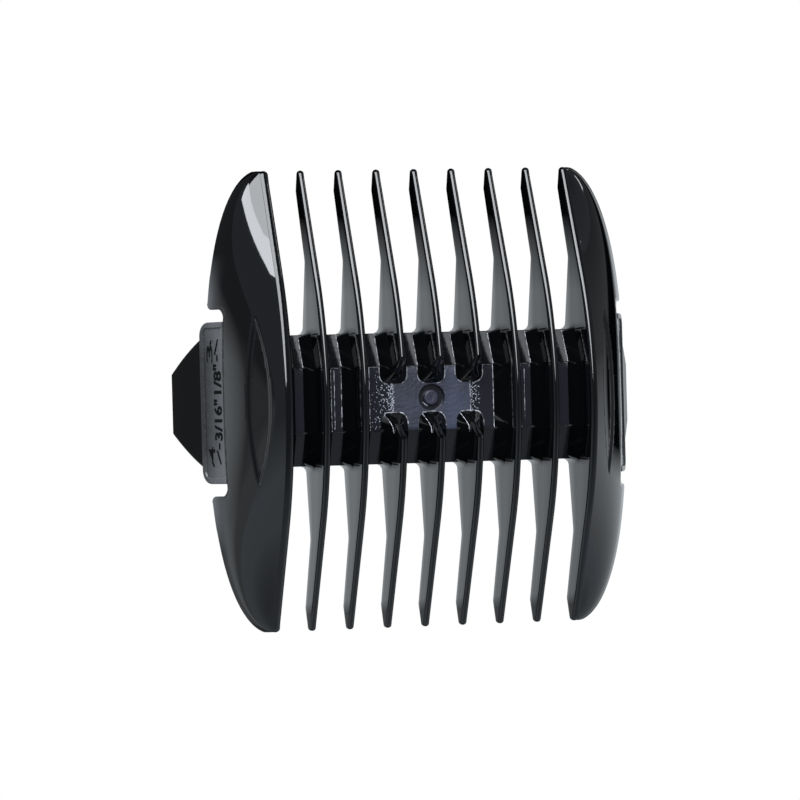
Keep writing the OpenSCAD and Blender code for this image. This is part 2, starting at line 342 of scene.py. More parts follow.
def finerLoop(loop, spacing):
    points = []
    for i, (x, y) in enumerate(loop):
        nextX, nextY = loop[(i + 1) % len(loop)]
        parts = max(1, ceil(hypot(nextX - x, nextY - y) / spacing))
        points += [(x + (nextX - x) * k / parts, y + (nextY - y) * k / parts) for k in range(parts)]
    return points


def bowedEdge(start, belly, stop, steps):  # a curve from start to stop, drawn towards belly
    def spot(t):
        return tuple((1 - t) ** 2 * a + 2 * t * (1 - t) * b + t * t * c for a, b, c in zip(start, belly, stop))

    return [spot(i / steps) for i in range(steps + 1)]


def insetLoop(loop, distance):  # the loop runs with its inside on the left
    moved = []
    for i, (x, y) in enumerate(loop):
        ax, ay = loop[i - 1]
        bx, by = loop[(i + 1) % len(loop)]
        first, second = Vector((x - ax, y - ay)).normalized(), Vector((bx - x, by - y)).normalized()
        along = (first + second).normalized()
        grow = distance / max(0.5, along.dot(first))
        moved.append((x - along.y * grow, y + along.x * grow))
    return moved


def insideLoop(loop, x, y):
    found = False
    for i, (ax, ay) in enumerate(loop):
        bx, by = loop[i - 1]
        if (ay > y) != (by > y) and x < ax + (y - ay) * (bx - ax) / (by - ay):
            found = not found
    return found


def lattice(low, high, spacing, keep):
    points, row, y = [], 0, low[1] + spacing / 2
    while y < high[1]:
        x = low[0] + (spacing / 2 if row % 2 else spacing)
        while x < high[0]:
            if keep(x, y):
                points.append((x, y))
            x += spacing
        y += spacing * sqrt(0.75)
        row += 1
    return points


def ringFaces(last, ring):  # the faces between two closed rings of points
    count = len(ring)
    return [(last[i], ring[i], ring[(i + 1) % count], last[(i + 1) % count]) for i in range(count)]


# A plate drawn as an outline on its outer face: both faces are filled, and the rim between them is rounded.
# place(x, y, share) gives the point at that share of the wall below the outer face.
def platePoints(outline, fill, creases, place, wall, rim, backRim=0.12, rimSteps=6):
    steps = [radians(90 * i / rimSteps) for i in range(rimSteps + 1)]
    rings = [(rim * (1 - sin(a)), rim * (1 - cos(a)) / wall) for a in steps]
    rings += [(backRim * (1 - cos(a)), 1 - backRim * (1 - sin(a)) / wall) for a in steps[::2]]
    edge = insetLoop(outline, rim)
    flat = [Vector(p) for p in edge] + [Vector(p) for p in fill]
    edges = []
    for crease in creases:
        start = len(flat)
        flat += [Vector(p) for p in crease["points"]]
        edges += [(start + i, start + i + 1) for i in range(len(crease["points"]) - 1)]
        if crease["closed"]:
            edges.append((len(flat) - 1, start))
    count = len(edge)
    out = delaunay_2d_cdt(flat, edges, [list(range(count))], 1, 1e-6, True)
    spots, triangles, origins = out[0], out[2], out[3]
    border = {}
    for index, sources in enumerate(origins):
        for source in sources:
            if source < count:
                border[source] = index
    rimSpots = set(border.values())

    def within(t):  # a triangle with all its corners on the rim may lie in a notch
        middle = sum((spots[i] for i in t), Vector((0, 0))) / 3
        return not rimSpots.issuperset(t) or insideLoop(edge, middle.x, middle.y)

    triangles = [t for t in triangles if within(t)]
    size = len(spots)
    points = [place(p.x, p.y, 0.0) for p in spots] + [place(p.x, p.y, 1.0) for p in spots]
    faces = [tuple(t) for t in triangles] + [tuple(size + i for i in reversed(t)) for t in triangles]
    last = [border[i] for i in range(count)]
    for inset, share in rings[1:]:
        start = len(points)
        points += [place(x, y, share) for x, y in insetLoop(outline, inset)]
        ring = [start + i for i in range(count)]
        faces += ringFaces(last, ring)
        last = ring
    return points, faces + ringFaces(last, [size + border[i] for i in range(count)])


def lofted(rings):  # a solid through closed rings of points, with flat ends
    count = len(rings[0])
    numbers = [range(k * count, (k + 1) * count) for k in range(len(rings))]
    faces = [face for pair in zip(numbers, numbers[1:]) for face in ringFaces(*pair)]
    return sum(rings, []), faces + [tuple(numbers[0]), tuple(reversed(numbers[-1]))]


def turnedPoints(profile, parts=64):  # profile is (radius, z), from the axis out and back to it
    points, faces = [], []
    rows = len(profile)
    for k in range(parts):
        angle = 2 * pi * k / parts
        points += [(r * cos(angle), r * sin(angle), z) for r, z in profile]
    for k in range(parts):
        a, b = k * rows, (k + 1) % parts * rows
        faces += [(a + i, b + i, b + i + 1, a + i + 1) for i in range(rows - 1)]
    return points, faces


smoke = {
    "depth": 1500.0,  # how fast light is lost inside, per metre
    "tint": (0.02, 0.035, 0.06),
    "base": (0.86, 0.88, 0.92),
    "darker": (0.774, 0.792, 0.828),
    "dull": (0.06, 0.14),  # the least and the most roughness
    "slowGrain": 140.0,  # grains are noise scales, per metre
    "fineGrain": 2600.0,
    "dustGrain": 1500.0,
    "dustSize": 9.0,  # specks of dust shrink as this grows
    "dustShare": 0.6,  # dust lies where the fine grain is above this
    "bump": (0.015, 0.0001),  # strength and distance
}


def smokedPlastic(name):
    material, bench = shaderBench(name)
    spot = bench.add("ShaderNodeTexCoord", output="Object")
    slow, fine = noise(bench, spot, smoke["slowGrain"], 2.0), noise(bench, spot, smoke["fineGrain"], 3.0)
    dust = bench.add("ShaderNodeTexVoronoi", None, {"Vector": spot, "Scale": smoke["dustGrain"]}, output="Distance")
    specks = (1 - dust * smoke["dustSize"]).share() * (fine > smoke["dustShare"])
    low, high = smoke["dull"]
    rough = low + (high - low) * (0.6 * fine + 0.4 * slow) + specks * 0.1
    colour = mixColour(bench, slow, (*smoke["darker"], 1), (*smoke["base"], 1))
    values = {"Color": (*smoke["tint"], 1), "Density": smoke["depth"]}
    inside = bench.add("ShaderNodeVolumeAbsorption", None, values)
    strength, distance = smoke["bump"]
    bump = {"Strength": strength, "Distance": distance, "Height": specks + 0.1 * fine}
    closeMaterial(bench, colour, rough, bump, {"Transmission Weight": 1.0}, inside)
    return material


opaque = {"darker": 0.75, "slowGrain": 180.0, "bumpDistance": 0.0003}


def opaquePlastic(name, base, dull, grain, grainScale, shine=0.5, tone=None):
    material, bench = shaderBench(name)
    spot = bench.add("ShaderNodeTexCoord", output="Object")
    fine, slow = noise(bench, spot, grainScale, 4.0), noise(bench, spot, opaque["slowGrain"], 2.0)
    darker = tuple(opaque["darker"] * c for c in base)
    colour = mixColour(bench, fine, (*darker, 1), (*base, 1))
    if tone:  # a second colour, and where it shows
        second, where = tone
        place = bench.add("ShaderNodeSeparateXYZ", None, {0: spot})
        colour = mixColour(bench, where(place.out("Y") / mm, place.out("Z") / mm, fine), colour, (*second, 1))
    rough = dull[0] + (dull[1] - dull[0]) * (0.5 * fine + 0.5 * slow)
    bump = {"Strength": grain, "Distance": opaque["bumpDistance"], "Height": fine}
    closeMaterial(bench, colour, rough, bump, {"Specular IOR Level": shine})
    return material


field = {
    "ends": (-5.45, 5.25),  # where the blue field lies along the bar
    "blue": (0.008, 0.01, 0.021),
    "paler": (0.017, 0.022, 0.044),
    "bare": (0.009, 0.009, 0.0125),
    "paintedGlint": (0.36, 0.38, 0.44),
    "wellEdge": 1.75,
    "paleRun": (-1.5, 3.0),
    "paleSpot": (2.9, 1.1),  # where it is palest, and how far that reaches
    "fineGrain": 2200.0,
    "slowGrain": 420.0,
    "dotGrain": 7000.0,
    "dotEdge": (0.35, 0.5),
    "dotChances": (0.75, 0.3, 0.6),  # chances of a painted glint dot: in the left band, among the strays and in the right band
    "band": (-6.0, -5.2),  # where the texture ends in dots of painted glint, and how far the stray ones reach
    "stray": -8.4,
    "rightBand": (5.3, 6.7),
    "gloss": 0.1,
    "dull": 0.28,  # how much duller the field is than the plain plastic
    "bump": (0.35, 0.0002),
}


def fieldPlastic(name):
    material, bench = shaderBench(name)
    spot = bench.add("ShaderNodeTexCoord", output="Object")
    place = bench.add("ShaderNodeSeparateXYZ", None, {0: spot})
    x, y = place / mm, place.out("Y") / mm
    fine, slow = noise(bench, spot, field["fineGrain"], 5.0), noise(bench, spot, field["slowGrain"], 3.0)
    grit = bench.add("ShaderNodeTexVoronoi", None, {"Vector": spot, "Scale": field["dotGrain"]})
    lot = bench.add("ShaderNodeSeparateXYZ", None, {0: grit.out("Color")})
    wobble = x + (fine - 0.5) * 0.3
    first, last = field["ends"]
    within = ramp(wobble, first - 0.1, first + 0.1) * (1 - ramp(wobble, last - 0.05, last + 0.05))
    well = 1 - ramp((x * x + y * y).root(), field["wellEdge"] - 0.05, field["wellEdge"])
    palest, reach = field["paleSpot"]
    lift = ramp(x, *field["paleRun"]) * 0.6 + 0.5 * (1 - ((x - palest).size() / reach).share()) + (slow - 0.45) * 1.6
    blue = mixColour(bench, lift.share(), (*field["blue"], 1), (*field["paler"], 1))
    base = mixColour(bench, within * (1 - well), (*field["bare"], 1), blue)
    outer, inner = field["band"]
    near, far = field["rightBand"]
    left, stray, right = field["dotChances"]
    chance = left * ramp(x, outer, inner) * (1 - ramp(x, inner, inner + 0.15))
    chance = chance + stray * ramp(x, field["stray"], outer) * (1 - ramp(x, inner, inner + 0.1))
    chance = chance + right * ramp(x, near, near + 0.1) * (1 - ramp(x, near, far))
    # painted glints: pale dots laid into the colour, for grit catching the light
    dots = (lot < chance) * (1 - ramp(grit.out("Distance"), *field["dotEdge"]))
    colour = mixColour(bench, dots, base, (*field["paintedGlint"], 1))
    rough = field["gloss"] + 0.08 * fine + within * (1 - 0.8 * well) * (field["dull"] + 0.12 * fine)
    strength, distance = field["bump"]
    bump = {"Strength": strength, "Distance": distance, "Height": fine * (0.12 + 0.88 * within * (1 - well))}
    closeMaterial(bench, colour, rough, bump, {})
    return material


# where painted light lies: on the flap, on the cheek's lip, and the gaps in the beads' painted glint
paintedLightRanges = {
    "flapSides": (5.5, 10.2),  # ranges in millimetres, across the comb or above its foot
    "flapTop": (7.2, 10.2),
    "lipRise": (7.9, 10.8),
    "lipPower": 2.2,
    "lipReach": (14.0, 19.5),
    "glintGaps": (0.44, 0.52),  # on the fine grain
}


def paintedFlapGlow(y, z, fine):  # painted light: the thin wall is painted paler towards its corners and its upper edge, for light shining through it
    corners, top = ramp(y.size(), *paintedLightRanges["flapSides"]), ramp(z, *paintedLightRanges["flapTop"])
    return (0.5 * corners + 0.8 * top + 0.3 * (fine - 0.5)).share()


def paintedLipGlow(y, z, fine):  # painted light: the cheek is painted paler where its lower edge is thin, for the light that would come through it
    rise, reach = ramp(z, *paintedLightRanges["lipRise"]), ramp(y.size(), *paintedLightRanges["lipReach"])
    return (1 - rise) ** paintedLightRanges["lipPower"] * (1 - reach)


def glintGaps(y, z, fine):  # the painted glint along the flash is broken by dark gaps
    return 1 - ramp(fine, *paintedLightRanges["glintGaps"])


# dull is the least and the most roughness; grain and grainScale are how high and how fine the surface's grain is
inkBlack, plainBlack, smokyBlack = (0.0016, 0.0018, 0.0021), (0.0015, 0.0015, 0.0015), (0.003, 0.003, 0.004)
toothPlastic = opaquePlastic("toothPlastic", inkBlack, dull=(0.03, 0.075), grain=0.01, grainScale=2600.0)
flangePlastic = opaquePlastic("flangePlastic", smokyBlack, dull=(0.05, 0.12), grain=0.02, grainScale=2600.0)
# the cheek's second colour is painted light through its thin lower edge
cheekPlastic = opaquePlastic("cheekPlastic", inkBlack, dull=(0.035, 0.065), grain=0.002, grainScale=2600.0,
                             tone=((0.1, 0.103, 0.108), paintedLipGlow))
# the flap's second colour is painted light through its thin wall
flapPlastic = opaquePlastic("flapPlastic", (0.012, 0.0125, 0.0135), dull=(0.18, 0.3), grain=0.05, grainScale=1400.0,
                            shine=0.35, tone=((0.06, 0.061, 0.065), paintedFlapGlow))
catchPlastic = smokedPlastic("catchPlastic")
tabPlastic = opaquePlastic("tabPlastic", plainBlack, dull=(0.16, 0.26), grain=0.04, grainScale=3000.0, shine=0.08)
markPlastic = opaquePlastic("markPlastic", plainBlack, dull=(0.3, 0.4), grain=0.05, grainScale=3000.0, shine=0.05)
webPlastic = fieldPlastic("webPlastic")
nubPlastic = opaquePlastic("nubPlastic", (0.016, 0.015, 0.032), dull=(0.3, 0.45), grain=0.2, grainScale=2500.0)
# pale beads: their colour is a painted glint along the edges, broken by dark gaps
paintedGlintBeadPlastic = opaquePlastic("paintedGlintBeadPlastic", (0.36, 0.37, 0.41), dull=(0.35, 0.5), grain=0.1, grainScale=1700.0,
                            tone=((0.03, 0.03, 0.035), glintGaps))
print("materials made")


tooth = {
    "tipThickness": 0.8,
    "tipRadius": 0.45,
    "frontCut": 3.8,
    "rearCut": 4.7,
    "frontTipHeight": 3.0,  # at the corner where the underside turns up to the tip
    "rearTipHeight": 3.9,
    "frontTipRun": 2.7,  # how far that corner is behind the tip
    "rearTipRun": 3.0,
    "flarePower": 1.0,  # 1 is a straight flare at the root, 2 a quarter circle
    "edgeRound": 0.12,
    "filletStart": 0.15,  # the flare starts to end this far inside the bar's edge
    "filletRun": 0.95,
    "splitHalf": 3.3,
    "splitSlope": 60.0,
    "pocketStep": 0.12,  # the run of the step down into the field
    "wallStart": 1.3,  # inside the bar the tooth is kept shallow; its wall starts and runs this far
    "wallRun": 0.8,
    "shallow": 0.75,
    "blend": 0.3,  # how softly the underside turns
    "rootShare": 0.3,  # past the bar, the rows of the flare take this share of the height
    "plainCrown": 0.08,  # the rounding of the ridge where an end tooth meets its cheek
    "endPower": 3.2,  # how square the inner end of a split tooth is
    "endShare": 0.12,  # the share of the stations that go round it
    "stations": 150,
    "leftExtra": 0.3,  # the left end tooth is this much thicker, on its inner side
}
ridgeParts, flareParts, baseParts = 8, 10, 3  # steps over the ridge, down the flare and under the lower edge


def toothSizes(**own):  # what the tooth tree is given: the shared sizes, and the ones of this tooth
    sizes = {**comb, **tooth, "across": 0.0, "outerSide": 0.0, "showFront": 1.0, "showRear": 1.0, **own}
    del sizes["pitch"], sizes["leftExtra"]
    return {name: radians(size) if name.endswith("Slope") else size for name, size in sizes.items()}


def toothTree():
    inputs = {**dict.fromkeys(toothSizes(), "Float"), "stations": "Int", "material": "Material"}
    bench, of = geometryBench("toothRow", inputs)
    perSide = ridgeParts + flareParts + baseParts + 3
    quarter = pi / 2
    thick, tipThick = of.thickness / 2, of.tipThickness / 2

    def ridgeZ(y):  # the ridge line: an arc over the middle, straight towards the tips
        bend = of.ridgeRadius * of.ridgeSlope.sine()
        arc = of.ridgeRadius - (of.ridgeRadius ** 2 - y * y).root()
        outer = of.ridgeRadius * (1 - of.ridgeSlope.cosine()) + (y - bend) * of.ridgeSlope.tangent()
        return -pick(y < bend, arc, outer)

    def halfTooth(turn, cut, tipHeight, tipRun, slope, show):  # a sheet of stations by steps, bent round one half
        counts = {"Vertices X": of.stations, "Vertices Y": 2 * perSide + 1}
        grid = bench.add("GeometryNodeMeshGrid", None, {"Size X": 1.0, "Size Y": 1.0, **counts})
        parts = bench.add("ShaderNodeSeparateXYZ", None, {0: bench.add("GeometryNodeInputPosition")})
        along, around = parts + 0.5, parts.out("Y") * (2 * perSide)
        side = around.math("SIGN")
        step = around.size().math("ROUND")
        # stations: round the inner end first, where there is one, then out to the tip
        split = of.splitHalf > 0.01
        endShare = of.endShare * split + 1e-4 * (1 - split)
        cap = (of.splitHalf + thick) * split
        swing = (1 - along / endShare).share() * split * quarter
        run = ((along - endShare) / (1 - endShare)).share()
        run = pick(split, run, along)
        station = cap + (of.reach - cap) * (run * quarter).sine()
        # width of the tooth and of its flared root
        narrow = ((station - of.bladeLine) / (of.reach - of.bladeLine)).share()
        tipIn = ((station - of.reach + tipThick) / tipThick).share()
        half = (thick + (tipThick - thick) * narrow) * (1 - tipIn * tipIn).root()
        past = ((station - of.barHalf + of.filletStart) / of.filletRun).share()
        plain = (side * of.outerSide) > 0.5
        flare = of.rootFlare * (1 - (1 - (1 - past) ** 2).root()) * (1 - plain)
        # the place round the section
        ridgeTurn = (step / ridgeParts).share() * quarter
        flareTurn = ((step - ridgeParts - 1) / flareParts).share() * quarter
        flareOut = 1 - flareTurn.cosine().most(0.0) ** (2 / of.flarePower)
        flareDown = flareTurn.sine().most(0.0) ** (2 / of.flarePower)
        baseTurn = ((step - ridgeParts - flareParts - 2) / baseParts).share() * quarter
        middle = step > perSide - 0.5
        edge = of.edgeRound.least(half * 0.5)
        outward = half * ridgeTurn.sine() + flare * flareOut - edge * (1 - baseTurn.cosine())
        outward = outward * (1 - middle)
        x = side * outward * swing.cosine().most(0.0) ** (2 / of.endPower)
        y = station - outward * swing.sine().most(0.0) ** (2 / of.endPower)
        # heights at that place
        away = y.most(of.webHalf) - of.webHalf
        deck = -of.barDepth - away * slope.tangent()
        saddle = deck + of.rootFlare
        pocket = of.fieldDepth * ((of.webHalf - y) / of.pocketStep + 0.5).share()
        floor = deck - pocket
        tipDown = ((y - of.reach + of.tipRadius) / of.tipRadius).share()
        tipDown = of.tipRadius * (1 - (1 - tipDown * tipDown).root())
        ridge = ridgeZ(y)
        inner = -of.barDepth + of.rootFlare + (y - of.splitHalf) * of.splitSlope.tangent()
        top = pick(split, ridge.least(inner.most(-of.barDepth + of.rootFlare)), ridge) - tipDown
        bladeZ = ridgeZ(of.bladeLine) - cut
        lowY = of.reach - tipRun
        lowZ = ridgeZ(lowY) - tipHeight
        chinZ = (lowZ + ridgeZ(of.reach)) / 2
        rising = -of.barBottom + (y - of.barHalf) * (bladeZ + of.barBottom) / (of.bladeLine - of.barHalf)
        falling = bladeZ + (y - of.bladeLine) * (lowZ - bladeZ) / (lowY - of.bladeLine)
        facet = lowZ + (y - lowY) * (chinZ - lowZ) / tipRun
        under = rising.math("SMOOTH_MIN", falling, of.blend).math("SMOOTH_MAX", facet, of.blend / 3)
        wallIn = ((y - of.barHalf + of.wallStart) / of.wallRun).share()
        shallow = floor - of.shallow
        hidden = pick(wallIn > 0.999, -of.barBottom, shallow - wallIn * (shallow + of.barBottom))
        low = pick(y > of.barHalf, under, hidden) + tipDown * 0.7
        beyond = past > 0.999
        seat = pick(beyond, low + of.rootShare * (top - low), floor)
        rise = pick(beyond, of.rootShare * (top - low), saddle - floor)
        rounded = half.least((top - seat - rise).most(0.0) * 0.6 + 0.01)
        crown = rounded * (1 - plain) + half.least(of.plainCrown) * plain
        ridgeHigh = top - crown * (1 - ridgeTurn.cosine())
        flareHigh = seat + rise * (1 - flareDown)
        baseHigh = low + edge * (1 - baseTurn.sine())
        onRidge, onBase = step < ridgeParts + 0.5, step > ridgeParts + flareParts + 1.5
        z = pick(onRidge, ridgeHigh, pick(onBase, baseHigh, flareHigh))
        spot = bench.add("ShaderNodeCombineXYZ", None, {"X": x + of.across, "Y": y * turn, "Z": z + of.ridgeHeight})
        bent = bench.add("GeometryNodeSetPosition", None, {"Geometry": grid, "Position": spot})
        return bench.add("GeometryNodeSwitch", {"input_type": "GEOMETRY"}, {"Switch": show > 0.5, "True": bent})

    front = halfTooth(1, of.frontCut, of.frontTipHeight, of.frontTipRun, of.frontSlope, of.showFront)
    rear = halfTooth(-1, of.rearCut, of.rearTipHeight, of.rearTipRun, of.rearSlope, of.showRear)
    both = bench.add("GeometryNodeJoinGeometry", None, {"Geometry": [front, rear]})
    closed = bench.add("GeometryNodeMergeByDistance", None, {"Geometry": both, "Distance": 0.0006})
    return closeTree(bench, closed, of.material)


def makeTeeth():
    tree = toothTree()

    def makeTooth(node, **own):
        mesh = grown(node, tree, {**toothSizes(**own), "material": toothPlastic})
        addPiece(node + "_shape", mesh, toothPlastic, "comb", [node], doubles=6e-7)

    for number in (1, 2, 6, 7):
        makeTooth(f"tooth_{number}", across=(number - 4) * comb["pitch"], splitHalf=0.0)
    for number in (3, 4, 5):
        makeTooth(f"tooth_{number}_front", across=(number - 4) * comb["pitch"], showRear=0.0)
        makeTooth(f"tooth_{number}_rear", across=(number - 4) * comb["pitch"], showFront=0.0)
    extra = tooth["leftExtra"]
    makeTooth("left_end_tooth", across=-endX + extra / 2, splitHalf=0.0, outerSide=-1.0,
              thickness=comb["thickness"] + extra, tipThickness=tooth["tipThickness"] + extra)
    makeTooth("right_end_tooth", across=endX, splitHalf=0.0, outerSide=1.0)


makeTeeth()
print("teeth made")


bar = {
    "wall": 1.5,
    "deckRound": 0.06,
    "edgeRound": 0.22,
    "footRound": 0.15,
    "insideRound": 0.5,
    "spacing": 1.0,
    "clear": 0.4,  # inner points keep this far from the web's edges
    "rim": 0.02,
    "wellRadius": 1.8,
    "wellDepth": 0.7,
    "wellLip": 0.08,
    "wellParts": 72,
    "nubRadius": 1.0,
    "nubHeight": 0.6,
    "nubRound": 0.2,
    "nubDish": 0.05,
    "nubSink": 0.2,
}


def makeFlange(node, turn, slope):
    edgeZ = -comb["barDepth"] - (comb["barHalf"] - comb["webHalf"]) * tan(radians(slope))
    wall, outer = bar["wall"], comb["barHalf"]
    foot, footRound = -comb["barBottom"], bar["footRound"]
    profile = roundedLoop([
        (comb["webHalf"], -comb["barDepth"], bar["deckRound"]), (outer, edgeZ, bar["edgeRound"]),
        (outer, foot, footRound), (outer - wall, foot, footRound), (outer - wall, edgeZ - wall, bar["insideRound"]),
        (comb["webHalf"], fieldZ - wall, 0)])
    points, faces = lofted([[(x, turn * y, z) for y, z in profile] for x in (-innerFaceX, innerFaceX)])
    addShape(node, points, faces, flangePlastic, "comb")


def makeWeb():
    radius, lip, wall, rim = bar["wellRadius"], bar["wellLip"], bar["wall"], bar["rim"]
    farX, farY = innerFaceX, comb["webHalf"]
    outline = finerLoop([(x * farX, y * farY) for x, y in square], bar["spacing"])

    def ring(size):
        turns = [2 * pi * k / bar["wellParts"] for k in range(bar["wellParts"])]
        return {"points": [(size * cos(a), size * sin(a)) for a in turns], "closed": True}

    def place(x, y, share):
        well = bar["wellDepth"] * held((radius - hypot(x, y)) / lip) * (1 - share)
        return x, y, fieldZ - well - share * wall

    def keep(x, y):
        onWeb = abs(x) < farX - bar["clear"] and abs(y) < farY - bar["clear"]
        return onWeb and abs(hypot(x, y) - radius) > bar["spacing"] / 2

    creases = [ring(size) for size in (radius + rim, radius, radius - lip, radius - lip - rim)]
    fill = lattice((-farX, -farY), (farX, farY), bar["spacing"], keep)
    points, faces = platePoints(outline, fill, creases, place, wall, rim, rim, 2)
    addShape("bridge_web", points, faces, webPlastic, "comb")


def makeNub():
    radius, small = bar["nubRadius"], bar["nubRound"]
    base = fieldZ - bar["wellDepth"]
    top = base + bar["nubHeight"]
    bend = [radians(15 * i) for i in range(7)]
    profile = [(0, base - bar["nubSink"]), (radius, base - bar["nubSink"]), (radius, base)]
    profile += [(radius - small * (1 - cos(a)), top - small * (1 - sin(a))) for a in bend]
    profile += [(radius * 0.4, top - bar["nubDish"] * 0.4), (0, top - bar["nubDish"])]
    points, faces = turnedPoints(profile)
    addShape("gate_nub", points, faces, nubPlastic, "comb")


makeFlange("front_flange", 1, comb["frontSlope"])
makeFlange("rear_flange", -1, comb["rearSlope"])
makeWeb()
makeNub()
print("bar made")


cheek = {
    "spread": 7.75,
    "skirtDepth": 12.4,
    "skirtLean": 24.0,
    "skirtPower": 2.6,
    "wall": 1.8,
    "lipWall": 0.8,
    "lipStart": 0.75,  # how far down the section the thin lip starts
    "lipSpan": (12.6, 7.4),  # past the first the thin lip narrows, and it is gone this much further on
    "lipRun": 0.08,
    "lipTaper": 0.3,  # how much further down it starts where it is gone
    "room": 0.7,  # the wall takes at most this share of the room behind it
    "recessLength": 23.0,
    "recessWidth": 4.3,
    "recessDrop": 4.5,
    "recessDepth": 0.3,
    "recessBevel": 0.5,
    "recessFade": 0.8,  # it grows shallow where half its width is less than this
    "recessClear": 0.12,
    "windowHalf": 12.2,
    "windowCorner": 0.9,
    "footCorner": 0.5,
    "rim": 0.25,
    "sink": 0.35,
    "crease": 0.9,  # how steeply the cheek drops away inside the end tooth
    "hornWall": 1.5,  # the extra wall towards the tips
    "hornRun": 0.3,
    "edgeWall": 1.2,  # inside the end tooth
    "spacing": 0.33,
    "end": 30.27,  # just short of the reach, where the skirt has run out
    "skirtParts": 2400,  # steps along the skirt, down a section and round the recess
    "sectionParts": 24,
    "recessParts": 60,
}
latch = {"hingeDepth": 9.4, "inset": 0.3, "lean": 24.0}
leanSin, leanCos = sin(radians(latch["lean"])), cos(radians(latch["lean"]))


def ridgeDrop(y):
    slope, radius = radians(comb["ridgeSlope"]), comb["ridgeRadius"]
    bend = radius * sin(slope)
    if abs(y) < bend:
        return radius - sqrt(radius * radius - y * y)
    return radius * (1 - cos(slope)) + (abs(y) - bend) * tan(slope)


def skirtX(y):
    share = min(1, abs(y) / (comb["reach"] + 0.1))
    return outerFaceX + cheek["spread"] * sqrt(1 - share ** cheek["skirtPower"])


def cheekCurve(y):  # top, bend and foot of the outer section
    top, foot = Vector((outerFaceX, -ridgeDrop(y))), Vector((skirtX(y), -cheek["skirtDepth"]))
    lean = radians(cheek["skirtLean"])
    off = atan2(foot.x - top.x, top.y - foot.y) - lean
    run = min((top - foot).length / (2 * cos(off)), (top.y - foot.y) / cos(lean))
    return top, foot + run * Vector((-sin(lean), cos(lean))), foot


def cheekOuter(curve, t):
    top, bend, foot = curve
    return (1 - t) ** 2 * top + 2 * t * (1 - t) * bend + t * t * foot


def cheekNormal(curve, t):
    top, bend, foot = curve
    along = ((1 - t) * (bend - top) + t * (foot - bend)).normalized()
    return Vector((-along.y, along.x)) if along.y < 0 else Vector((along.y, -along.x))


def cheekInward(y, curve, t, extra):  # from the outer face to the inner one
    inward = -Vector((sin(pi / 2 * t), cos(pi / 2 * t)))
    start = cheek["lipStart"] + cheek["lipTaper"] * held((abs(y) - cheek["lipSpan"][0]) / cheek["lipSpan"][1])
    thin = held((t - start) / cheek["lipRun"])
    wall = cheek["wall"] + extra + (cheek["lipWall"] - cheek["wall"] - extra) * thin
    room = cheek["room"] * min(cheek["skirtDepth"] - ridgeDrop(y), skirtX(y) - outerFaceX)
    return inward * min(wall / max(0.5, abs(inward.dot(cheekNormal(curve, t)))), room)


def cheekSpan(y):
    curve = cheekCurve(y)
    parts = cheek["sectionParts"]
    spots = [cheekOuter(curve, k / parts) for k in range(parts + 1)]
    return sum((b - a).length for a, b in zip(spots, spots[1:]))


def recessHalf(y):  # half the recess's width; the recess ends where this is 0
    return cheek["recessWidth"] / 2 * (1 - (2 * y / cheek["recessLength"]) ** 2)


def recessSink(y, t, chord):
    half = recessHalf(y)
    share = held((half - abs(t * chord - cheek["recessDrop"])) / cheek["recessBevel"])
    return cheek["recessDepth"] * share * share * (3 - 2 * share) * held(half / cheek["recessFade"])


class SkirtRun:  # length along the skirt line, so that the cheek can be laid out flat
    def __init__(self):
        parts = cheek["skirtParts"]
        self.ys = [cheek["end"] * sin(pi * (i / parts - 0.5)) for i in range(parts + 1)]
        self.runs = [0.0]
        for a, b in zip(self.ys, self.ys[1:]):
            self.runs.append(self.runs[-1] + hypot(b - a, skirtX(b) - skirtX(a)))
        self.half = self.runs[-1] / 2
        self.spans = [cheekSpan(y) for y in self.ys]

    def look(self, value, source, target):
        low, high = 0, len(source) - 1
        while high - low > 1:
            mid = (low + high) // 2
            low, high = (mid, high) if source[mid] <= value else (low, mid)
        share = held((value - source[low]) / (source[high] - source[low]))
        return target[low] + share * (target[high] - target[low])

    def y(self, run):
        return self.look(run + self.half, self.runs, self.ys)

    def run(self, y):
        return self.look(y, self.ys, self.runs) - self.half

    def span(self, run):
        return self.look(run + self.half, self.runs, self.spans)


def hingeShare(y, hingeX):  # where the section at y crosses the window's upper edge
    curve = cheekCurve(y)
    low, high = 0.2, 1.0
    for _ in range(40):
        mid = (low + high) / 2
        spot = cheekOuter(curve, mid)
        above = -leanSin * (spot.x - hingeX) + leanCos * (spot.y + latch["hingeDepth"])
        low, high = (mid, high) if above > 0 else (low, mid)
    return (low + high) / 2


def recessGap(point, flat, chord):  # distance from the recess's outline, along the section
    run, s = point
    y = flat.y(run)
    if abs(y) > cheek["recessLength"] / 2:
        return 9.0
    return abs(s / flat.span(run) * chord - cheek["recessDrop"]) - recessHalf(y)


